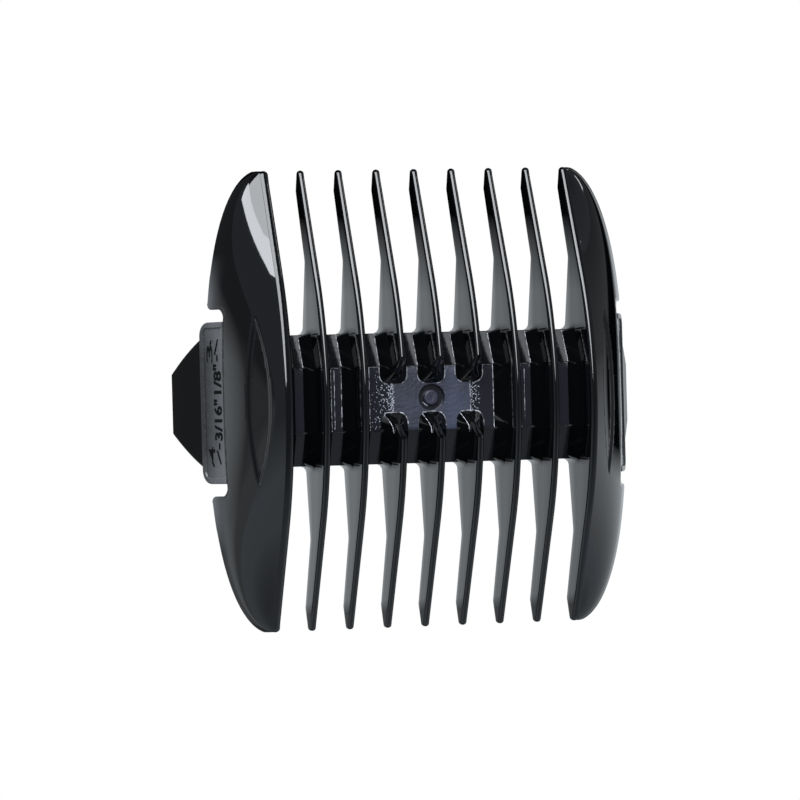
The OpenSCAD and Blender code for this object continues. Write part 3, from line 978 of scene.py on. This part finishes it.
def makeCheeks():
    flat = SkirtRun()
    hingeX = skirtX(0) - latch["inset"] - (cheek["skirtDepth"] - latch["hingeDepth"]) * leanSin / leanCos
    chord = (cheekOuter(cheekCurve(0), 1) - cheekOuter(cheekCurve(0), 0)).length
    step = cheek["spacing"]
    half, windowRun = flat.half, flat.run(cheek["windowHalf"])

    foot = flat.span

    def windowTop(run):
        return hingeShare(flat.y(run), hingeX) * foot(run)

    def spaced(start, stop, height):
        parts = max(1, ceil(abs(stop - start) / step))
        runs = [start + (stop - start) * k / parts for k in range(parts + 1)]
        return [(run, height(run)) for run in runs]

    upper, footRound = cheek["windowCorner"], cheek["footCorner"]
    topCorner, footPoint = (windowRun, windowTop(windowRun)), (windowRun, foot(windowRun))
    rightHalf = spaced(half, windowRun + footRound, foot)
    beyond, inside = windowRun + 2, windowRun - 2
    rightHalf += roundCorner((beyond, foot(beyond)), footPoint, topCorner, footRound, 6)[1:]
    rightHalf += roundCorner(footPoint, topCorner, (inside, windowTop(inside)), upper, 8)
    rightHalf += spaced(windowRun - upper, 0, windowTop)[1:]
    leftHalf = [(-x, y) for x, y in reversed(rightHalf[:-1])]
    tipMiddle = (foot(half) - cheek["sink"]) / 2
    outline = spaced(-half, half, lambda run: -cheek["sink"])
    outline += [(half, tipMiddle)] + rightHalf + leftHalf + [(-half, tipMiddle)]

    gap = 0.3 + step / 2

    def keep(run, s):
        onCheek = gap <= s <= foot(run) - gap and abs(run) <= half - gap
        return onCheek and (abs(run) >= windowRun + gap or s <= windowTop(min(abs(run), windowRun)) - gap)

    fill = lattice((-half, -cheek["sink"]), (half, foot(0)), step, keep)

    def almond(inset):  # the line this far inside the recess's outline
        length = cheek["recessLength"] / 2 * sqrt(1 - 2 * inset / cheek["recessWidth"])
        parts = cheek["recessParts"]
        ys = [length * sin(pi * (k / parts - 0.5)) for k in range(parts + 1)]

        def edge(y, turn):
            wide = recessHalf(y) - inset
            return flat.run(y), foot(flat.run(y)) * (cheek["recessDrop"] + turn * wide) / chord

        upper = [edge(y, -1) for y in ys[1:-1]]
        lower = [edge(y, 1) for y in reversed(ys[1:-1])]
        return {"points": [edge(ys[0], 0)] + upper + [edge(ys[-1], 0)] + lower, "closed": True}

    rings = [almond(cheek["recessBevel"] * k / 4) for k in range(5)]
    clear = cheek["recessClear"]
    fill = [p for p in fill if not -cheek["recessBevel"] - clear < recessGap(p, flat, chord) < clear]

    def place(run, s, share):
        y = flat.y(run)
        if s <= 0:
            wall = min(cheek["edgeWall"], cheek["room"] * (cheek["skirtDepth"] - ridgeDrop(y)))
            return outerFaceX + s, y, -ridgeDrop(y) + cheek["crease"] * s - share * wall
        t = min(1, s / foot(run))
        curve = cheekCurve(y)
        horn = held((abs(run) - windowRun - topCorner[1] + s) / cheek["hornRun"])
        spot = cheekOuter(curve, t) + share * cheekInward(y, curve, t, horn * cheek["hornWall"])
        spot -= (1 - share) * recessSink(y, t, chord) * cheekNormal(curve, t)
        return spot.x, y, spot.y

    edgeLine = [(run, 0.0) for run, _ in spaced(-half + 0.5, half - 0.5, foot)]
    creases = rings + [{"points": edgeLine, "closed": False}]
    points, faces = platePoints(outline, fill, creases, place, cheek["lipWall"], cheek["rim"])
    onBothSides("cheek", points, faces, cheekPlastic, "comb", 24)
    return hingeX


hingeX = makeCheeks()
print("cheeks made")


flap = {
    "half": 10.6,
    "top": -0.1,
    "height": 5.0,
    "wall": 1.1,
    "corner": 1.8,
    "rim": 0.22,
    "rimWidth": 0.7,  # the raised edge round the sunk panel
    "rimHeight": 0.2,
    "panelCorner": 0.9,
    "step": 0.12,  # the run of the step down into the panel
    "spacing": 0.4,
    "grid": 0.5,
}
tab = {
    "rootHalf": 7.7,
    "baseHalf": 8.6,
    "bellyHalf": 6.85,
    "footHalf": 3.9,
    "setback": 0.4,
    "wall": 1.6,
    "root": 1.6,  # how far the hidden root reaches up behind the flap
    "rim": 0.22,
    "tuck": 0.45,  # how far the grip goes up under the flap
    "spacing": 0.5,
    "grid": 0.7,
}
catch = {
    "half": 4.0,
    "reach": 0.9,
    "height": 1.6,
    "sink": 0.2,
    "round": 0.18,
    "gap": 0.1,
    "endRun": 0.15,
    "endSize": 0.75,  # the size of its ends, as a share of the section
}
footZ = -(comb["ridgeHeight"] - latch["hingeDepth"]) / leanCos


def inLatch(out, y, up):  # from a latch's own frame to the comb's: out of its face, along the teeth, up the flap
    return hingeX + out * leanCos - up * leanSin, y, -latch["hingeDepth"] + out * leanSin + up * leanCos


def plateLoop(half, top, foot, radius, spacing):
    corners = [(-half, top, 0), (-half, foot, radius), (half, foot, radius), (half, top, 0)]
    return finerLoop(roundedLoop(corners), spacing)


def makeFlaps():
    outline = plateLoop(flap["half"], flap["top"], -flap["height"], flap["corner"], flap["spacing"])
    panelHalf, panelFoot = flap["half"] - flap["rimWidth"], flap["rimWidth"] - flap["height"]
    corner, high = flap["panelCorner"], flap["top"] - flap["rim"] - 0.03
    inner = insetLoop(outline, flap["spacing"])

    def panelGap(y, up):  # negative inside the sunk panel
        dx, dz = abs(y) - panelHalf + corner, panelFoot + corner - up
        return hypot(max(dx, 0), max(dz, 0)) + min(max(dx, dz), 0) - corner

    def place(y, up, share):
        sink = flap["rimHeight"] * held(-panelGap(y, up) / flap["step"]) * (1 - share)
        return inLatch(-sink - share * flap["wall"], y, up)

    def panelEdge(inset):  # down one side of the panel, along its foot and up the other side
        wide = panelHalf - inset
        points = plateLoop(wide, high, panelFoot + inset, corner - inset, flap["spacing"])
        return {"points": [p for p in points if p[1] < high - 0.01 or abs(p[0]) > wide - 0.01], "closed": False}

    def keep(y, up):
        return insideLoop(inner, y, up) and abs(panelGap(y, up) + flap["step"] / 2) > flap["spacing"] / 2

    creases = [panelEdge(0), panelEdge(flap["step"])]
    fill = lattice((-flap["half"], -flap["height"]), (flap["half"], flap["top"]), flap["grid"], keep)
    points, faces = platePoints(outline, fill, creases, place, flap["wall"], flap["rim"])
    onBothSides("latch_flap", points, faces, flapPlastic)


def makeTabs():
    half, base, middle = tab["baseHalf"], -flap["height"], (footZ - flap["height"]) / 2
    edge = bowedEdge((tab["footHalf"], footZ), (tab["bellyHalf"], middle), (half, base), 12)
    edge.append((half, base + tab["tuck"]))
    grip = finerLoop([(-y, up) for y, up in reversed(edge)] + edge, tab["spacing"])
    inner = insetLoop(grip, flap["spacing"])
    fill = lattice((-half, footZ), (half, base), tab["grid"], lambda y, up: insideLoop(inner, y, up))

    def plate(outline, fill, front, wall, rim, backRim, steps):
        def place(y, up, share):
            return inLatch(-front - share * wall, y, up)

        return platePoints(outline, fill, [], place, wall, rim, backRim, steps)

    points, faces = plate(grip, fill, tab["setback"], tab["wall"], tab["rim"], tab["rim"], 6)
    root = plateLoop(tab["rootHalf"], base + tab["root"], base - 1, 0, 0.8)
    depth = tab["setback"] + tab["wall"] - flap["wall"]
    rootPoints, rootFaces = plate(root, [], flap["wall"], depth, 0.05, 0.1, 2)
    faces += [tuple(len(points) + i for i in face) for face in rootFaces]
    onBothSides("release_tab", points + rootPoints, faces, tabPlastic)


def makeCatches():
    wall, half, height, size = -flap["wall"], catch["half"], catch["height"], catch["endSize"]
    top = -flap["height"] + tab["root"] + height + catch["gap"]
    peak = (wall - catch["reach"], top - height / 3, catch["round"])
    profile = roundedLoop([(wall + catch["sink"], top, 0), peak, (wall + catch["sink"], top - height, 0)], 6)
    ends = [(-half, size), (-half + catch["endRun"], 1.0), (half - catch["endRun"], 1.0), (half, size)]
    middle = top - height / 2

    def section(y, size):
        return [inLatch(wall + (out - wall) * size, y, middle + (up - middle) * size) for out, up in profile]

    points, faces = lofted([section(y, size) for y, size in ends])
    onBothSides("catch", points, faces, catchPlastic)


marks = {
    "proud": 0.04,
    "sink": 0.03,
    # each word has its start and stop along the flap
    "inches": {"bold": 0.03, "height": 1.7, "low": 0.55, "words": (("3/16\"", -4.9, 0.5), ("1/8\"", 1.2, 5.1))},
    "big": {"bold": 0.004, "height": 1.3, "low": 2.3, "words": (("4", -7.7, -5.7), ("3", 5.3, 7.6))},
    "strokes": (
        ((-8.0, 1.0), (-6.2, 1.8)), ((-6.1, 1.25), (-5.25, 1.25)), ((5.45, 1.35), (6.3, 1.35)),
        ((6.3, 1.85), (8.3, 1.1)), ((-8.3, 2.5), (-7.6, 3.0)), ((7.6, 2.8), (8.2, 2.5))),
    "strokeWidth": 0.26,
    "curveParts": 3,
}


def wordMesh(words, start, stop, low, height, bold):  # plain figures, drawn along the flap and filled into this place
    data = bpy.data.curves.new("words", "FONT")
    data.body = words
    data.extrude = marks["proud"]
    data.resolution_u = marks["curveParts"]
    data.offset = bold
    mesh = plainMesh(newObject("words", data))
    spots = [v.co.copy() for v in mesh.vertices]
    faces = [tuple(face.vertices) for face in mesh.polygons]
    left, right = min(v.x for v in spots), max(v.x for v in spots)
    base, top = min(v.y for v in spots), max(v.y for v in spots)
    across, up = (stop - start) / (right - left), height / (top - base)
    return [(start + (v.x - left) * across, low + (v.y - base) * up, v.z > 0) for v in spots], faces


def strokeMesh(start, stop, width):
    (ax, ay), (bx, by) = start, stop
    length = hypot(bx - ax, by - ay)
    sx, sy = (ay - by) / length * width / 2, (bx - ax) / length * width / 2
    ring = [(ax + sx, ay + sy), (ax - sx, ay - sy), (bx - sx, by - sy), (bx + sx, by + sy)]
    return lofted([[(x, y, high) for x, y in ring] for high in (False, True)])


def makeMarks():
    parts = [strokeMesh(*ends, marks["strokeWidth"]) for ends in marks["strokes"]]
    for side, turn in sides:
        points, faces, words = [], [], []
        for row in (marks["inches"], marks["big"]):
            for text, start, stop in row["words"]:
                first, last = sorted((-turn * start, -turn * stop))
                words.append(wordMesh(text, first, last, row["low"], row["height"], row["bold"]))
        strokes = [([(-turn * u, v, high) for u, v, high in spots], rings) for spots, rings in parts]
        for spots, rings in words + strokes:
            start = len(points)
            for u, v, high in spots:
                out = -flap["rimHeight"] + (marks["proud"] if high else -marks["sink"])
                x, y, z = inLatch(out, -turn * u, -v)
                points.append((turn * x, y, z))
            faces += [tuple(start + i for i in face) for face in rings]
        mesh = meshFrom(side + "Marks", points, faces)
        addPiece(f"{side}_flap_marks", mesh, markPlastic, f"{side}_latch", doubles=1e-7)


makeFlaps()
makeTabs()
makeCatches()
makeMarks()
print("latches made")


# Flash is thin beads of plastic along the edges of the bar's texture and round the roots of the teeth; they are
# coloured pale, a painted glint along those edges.
flash = {
    "radii": (0.045, 0.075),  # of a thin and of a thick line
    "gap": 0.03,  # how far from the roots it lies
    "step": 0.15,
    "lift": 0.3,  # the share of the radius that it is raised
    "spacing": 0.12,
    "wander": 0.06,
    "wanderScale": 1.6,
    "least": 0.35,
    "swell": 1.3,
    "swellScale": 3.5,
    "seed": 4.0,
}


def flashTree():
    sizes = ("radius", "spacing", "wander", "wanderScale", "least", "swell", "swellScale", "seed")
    inputs = {"line": "Geometry", "material": "Material", **dict.fromkeys(sizes, "Float")}
    bench, of = geometryBench("flashLine", inputs)
    curve = bench.add("GeometryNodeMeshToCurve", None, {"Mesh": of.line})
    even = bench.add("GeometryNodeResampleCurve", {"mode": "LENGTH"}, {"Curve": curve, "Length": of.spacing})
    spot = bench.add("GeometryNodeInputPosition")

    def wave(start, scale, detail, output):
        values = {"Vector": spot, "W": start, "Scale": scale, "Detail": detail}
        return bench.add("ShaderNodeTexNoise", {"noise_dimensions": "4D"}, values, output)

    drift = wave(of.seed, of.wanderScale, 2.0, "Color")
    middle = bench.add("ShaderNodeVectorMath", {"operation": "SUBTRACT"}, {0: drift, 1: (0.5, 0.5, 0.5)})
    flatter = bench.add("ShaderNodeVectorMath", {"operation": "MULTIPLY"}, {0: middle, 1: (1.0, 1.0, 0.3)})
    offset = bench.add("ShaderNodeVectorMath", {"operation": "SCALE"}, {0: flatter, "Scale": of.wander})
    bent = bench.add("GeometryNodeSetPosition", None, {"Geometry": even, "Offset": offset})
    wide = of.radius * (of.least + of.swell * wave(of.seed + 7, of.swellScale, 1.0, "Fac"))
    ring = bench.add("GeometryNodeCurvePrimitiveCircle", {"mode": "RADIUS"}, {"Resolution": 6, "Radius": 1.0})
    values = {"Curve": bent, "Profile Curve": ring, "Scale": wide, "Fill Caps": True}
    return closeTree(bench, bench.add("GeometryNodeCurveToMesh", None, values), of.material)


def flashPaths():  # thin and thick lines, as (x, y) seen from above
    pitch, toe = comb["pitch"], comb["thickness"] / 2 + comb["rootFlare"] + flash["gap"]
    step, low, edge = comb["webHalf"] - 0.05, -comb["webHalf"], comb["barHalf"] - 0.15

    def at(i, *spots):  # beside the tooth that stands i places from the middle
        return [(i * pitch + x, y) for x, y in spots]

    thin = [[(i * pitch + toe, step), ((i + 1) * pitch - toe, step)] for i in range(-4, 4)]
    thin += [at(i, (toe, step), (toe, low)) for i in (-3, -2, 2, 3)]
    thin += [at(-3, (toe + 0.45, step - 0.3), (toe + 0.4, low + 0.2)), at(-2, (-toe, step), (-toe - 0.05, low + 0.6)),
             at(2, (-toe, step), (-toe, low)), at(2, (toe + 0.55, step - 0.6), (toe + 0.5, low + 1))]
    thin += [at(i, (-toe, edge), (-toe, comb["webHalf"] + 0.1)) for i in range(-3, 5)]
    thin.append([(field["ends"][1], 2.1), (field["ends"][1] + 0.03, -2.0)])
    thick = [[(1.16 * cos(a), 1.16 * sin(a)) for a in (2 * pi * k / 40 for k in range(23, 29))]]
    inwards = ((0, step), (0, 3.0), (0.08, 2.6), (0.3, 2.25), (0.7, 1.98), (1.1, 1.86))
    for i in (-1, 0, 1):  # round the inner ends of the split teeth
        thin += [at(i, *((side * (toe - x), y) for x, y in inwards)) for side in (-1, 1)]
        thin.append(at(i, (-1.3, -1.92), (-0.6, -1.84), (0.3, -1.82), (1.0, -1.87)))
        thin.append(at(i, (-1.35, -2.1), (-0.95, -2.9), (-0.6, -3.8), (-0.5, -4.6)))
        thick.append(at(i, (0.7, -1.86), (1.25, -2.0), (1.62, -2.4), (1.85, -3.0), (1.9, -3.9)))
    return thin, thick


def onComb(tree, x, y):  # the comb's height at this place, in millimetres
    hit = tree.ray_cast(Vector((x, y, comb["ridgeHeight"] + 5)) * mm, Vector((0, 0, -1)))[0]
    return hit.z / mm


def combGround():  # the bar and the teeth on it, as one surface
    points, faces = [], []
    for piece in scene.objects:
        if piece.name.endswith("_shape") and piece.name.startswith(("bridge", "front", "rear", "tooth", "gate")):
            start = len(points)
            points += [v.co.copy() for v in piece.data.vertices]
            faces += [tuple(start + i for i in face.vertices) for face in piece.data.polygons]
    return BVHTree.FromPolygons(points, faces)


def makeFlash():
    ground, tree = combGround(), flashTree()
    for name, paths, radius in zip(("flash_glint_lines", "root_glint_beads"), flashPaths(), flash["radii"]):
        base = bpy.data.meshes.new(name + "Path")
        spots, edges = [], []
        for path in paths:
            for (ax, ay), (bx, by) in zip(path, path[1:]):
                parts = max(1, ceil(hypot(bx - ax, by - ay) / flash["step"]))
                first = (ax, ay) == path[0]
                for k in range(0 if first else 1, parts + 1):
                    x, y = ax + (bx - ax) * k / parts, ay + (by - ay) * k / parts
                    if k or not first:
                        edges.append((len(spots) - 1, len(spots)))
                    spots.append((x, y, onComb(ground, x, y) + radius * flash["lift"]))
        base.from_pydata(spots, edges, [])
        values = {**flash, "radius": radius, "material": paintedGlintBeadPlastic}
        addPiece(name, grown(name, tree, values, base), paintedGlintBeadPlastic, "comb", doubles=1e-8)


makeFlash()
print("flash lines made")


# Distances on the floor are in millimetres, and the sizes of what stands round the comb in metres.
stage = {
    "seenFloor": 1.0,
    "tint": (0.93, 0.96, 1.0),
    "floorTint": (0.89, 0.95, 1.0),
    "skyTint": (0.82, 0.9, 1.0),
    "underGlow": 0.62,  # the floor as the comb mirrors it, below the teeth
    "underFade": (14.0, 24.5),
    "tipFade": (27.0, 28.6),
    "tipLoss": 0.65,
    "sides": (30.0, 35.0),
    "left": {  # the floor as the left cheek mirrors it
        "near": 0.5,
        "nearEnd": (44.0, 56.0),
        "glow": 1.75,
        "faint": 0.4,
        "fade": (58.0, 105.0),
        "front": (8.0, 22.0),
        "frontGlow": 0.15,
        "rear": 0.4,
        "rearRise": (10.0, 30.0),
        "rearLoss": 0.35,
    },
    "right": {  # and as the right one does
        "near": 1.05,
        "nearEnd": (35.5, 38.5),
        "gap": (45.0, 47.0),
        "gapEnd": (8.0, 13.0),
        "front": 0.2,
        "rear": 0.85,
        "turn": (-8.0, 12.0),
    },
    "floorSize": 3.0,
    "backdropSize": 4.0,
    "lightsAway": 2.0,
    "softbox": {"glow": 15.5, "turns": (-47.0, -29.0), "low": 12.0, "high": 82.0},
    "softboxInner": {"glow": 11.0, "turns": (-29.0, 11.5), "low": 19.5, "high": 82.0},
    "strip": {"glow": 9.0, "turns": (45.0, 56.0), "low": 0.3, "high": 4.5},
    "frontSky": 0.02,
    "rearSky": 0.9,
    "rearRange": (0.06, 0.3),
    "rearFade": (0.3, 0.6),
    "sideSky": 0.32,
    "sideRange": (0.35, 0.65),
    "zenith": 0.13,
    "zenithRange": (0.7, 0.92),
}


def glowMaterial(name, glow, tint=(1, 1, 1)):  # glow gives the strength at a place on the floor
    material, bench = shaderBench(name)
    spot = bench.add("ShaderNodeSeparateXYZ", None, {0: bench.add("ShaderNodeTexCoord", output="Object")})
    values = {"Color": (*tint, 1), "Strength": glow(spot / mm, spot.out("Y") / mm)}
    bench.add("ShaderNodeOutputMaterial", None, {"Surface": bench.add("ShaderNodeEmission", None, values)})
    return material


def mirroredGlow(x, y):
    left, right = stage["left"], stage["right"]
    under = stage["underGlow"] * (1 - ramp(y, *stage["underFade"]))
    under = under * (1 - stage["tipLoss"] * ramp(-y, *stage["tipFade"]))
    toLeft, toRight = ramp(-x, *stage["sides"]), ramp(x, *stage["sides"])
    onLeft = left["near"] + (left["glow"] - left["near"]) * ramp(-x, *left["nearEnd"])
    onLeft = onLeft - (left["glow"] - left["faint"]) * ramp(-x, *left["fade"])
    onLeft = onLeft * (1 - left["rearLoss"] * ramp(-y, *left["front"])) + left["rear"] * ramp(-y, *left["rearRise"])
    onLeft = left["frontGlow"] + (onLeft - left["frontGlow"]) * (1 - ramp(y, *left["front"]))
    near = right["near"] * (1 - ramp(x, *right["nearEnd"]))
    far = right["front"] + (right["rear"] - right["front"]) * ramp(-y, *right["turn"])
    onRight = near.most(far * ramp(x, *right["gap"]).most(ramp(-y, *right["gapEnd"])))
    return under * (1 - toLeft) * (1 - toRight) + onLeft * toLeft + onRight * toRight


def stageObject(name, mesh, material, seen, mirrored):
    mesh.materials.append(material)
    made = newObject(name, mesh)
    made.visible_camera = made.visible_transmission = seen
    made.visible_glossy = made.visible_diffuse = mirrored
    made.visible_shadow = False
    return made


def stagePlane(name, height, material, seen):
    mesh = bpy.data.meshes.new(name)
    size = stage["floorSize"]
    mesh.from_pydata([(x * size, y * size, height) for x, y in square], [], [(0, 1, 2, 3)])
    stageObject(name, mesh, material, seen, not seen)


def makeStage():
    white = glowMaterial("stageWhite", lambda x, y: stage["seenFloor"])
    stagePlane("floor", -0.0001, white, True)
    stagePlane("floorGlow", -0.0002, glowMaterial("stageGlow", mirroredGlow, stage["floorTint"]), False)
    dome = bmesh.new()
    bmesh.ops.create_uvsphere(dome, u_segments=48, v_segments=24, radius=stage["backdropSize"])
    mesh = bpy.data.meshes.new("backdrop")
    dome.to_mesh(mesh)
    dome.free()
    stageObject("backdrop", mesh, white, True, False).visible_transmission = False


def standingLight(name, place):  # an upright panel that fills these turns and heights, as seen from the comb
    away = stage["lightsAway"]
    first, last = (radians(turn) for turn in place["turns"])
    low, high = (away * tan(radians(height)) for height in (place["low"], place["high"]))
    turn = (first + last) / 2
    width = 2 * away * tan((last - first) / 2)
    ahead = Vector((sin(turn), cos(turn), 0))
    data = bpy.data.lights.new(name, "AREA")
    data.shape = "RECTANGLE"
    data.color = stage["tint"]
    data.size, data.size_y = width, high - low
    data.energy = place["glow"] * pi * width * (high - low)
    light = newObject(name, data)
    light.location = away * ahead + Vector((0, 0, (low + high) / 2))
    light.rotation_euler = (-ahead).to_track_quat("-Z", "Y").to_euler()
    light.visible_camera = False


def makeLights():
    for name in ("softbox", "softboxInner", "strip"):
        standingLight(name, stage[name])
    world = bpy.data.worlds.new("studio")
    world.use_nodes = True
    world.node_tree.nodes.clear()
    scene.world = world
    bench = Bench(world.node_tree)
    way = bench.add("ShaderNodeSeparateXYZ", None, {0: bench.add("ShaderNodeTexCoord", output="Generated")})
    ahead, up = way.out("Y"), way.out("Z")
    level = (1 - up * up).most(0.0001).root()
    overhead = ramp(up, *stage["zenithRange"])
    behind = ramp(-ahead / level, *stage["rearRange"]) * (1 - overhead)
    beside = ramp(way.size() / level, *stage["sideRange"]) * (1 - overhead) * (1 - behind)
    strength = stage["frontSky"] + stage["zenith"] * overhead + stage["sideSky"] * beside
    strength = strength + behind * stage["rearSky"] * (1 - 0.5 * ramp(up, *stage["rearFade"]))
    glow = bench.add("ShaderNodeBackground", None, {"Color": (*stage["skyTint"], 1), "Strength": strength})
    bench.add("ShaderNodeOutputWorld", None, {"Surface": glow})


makeStage()
makeLights()
scene.view_settings.view_transform = "Standard"
print("stage and lights set")
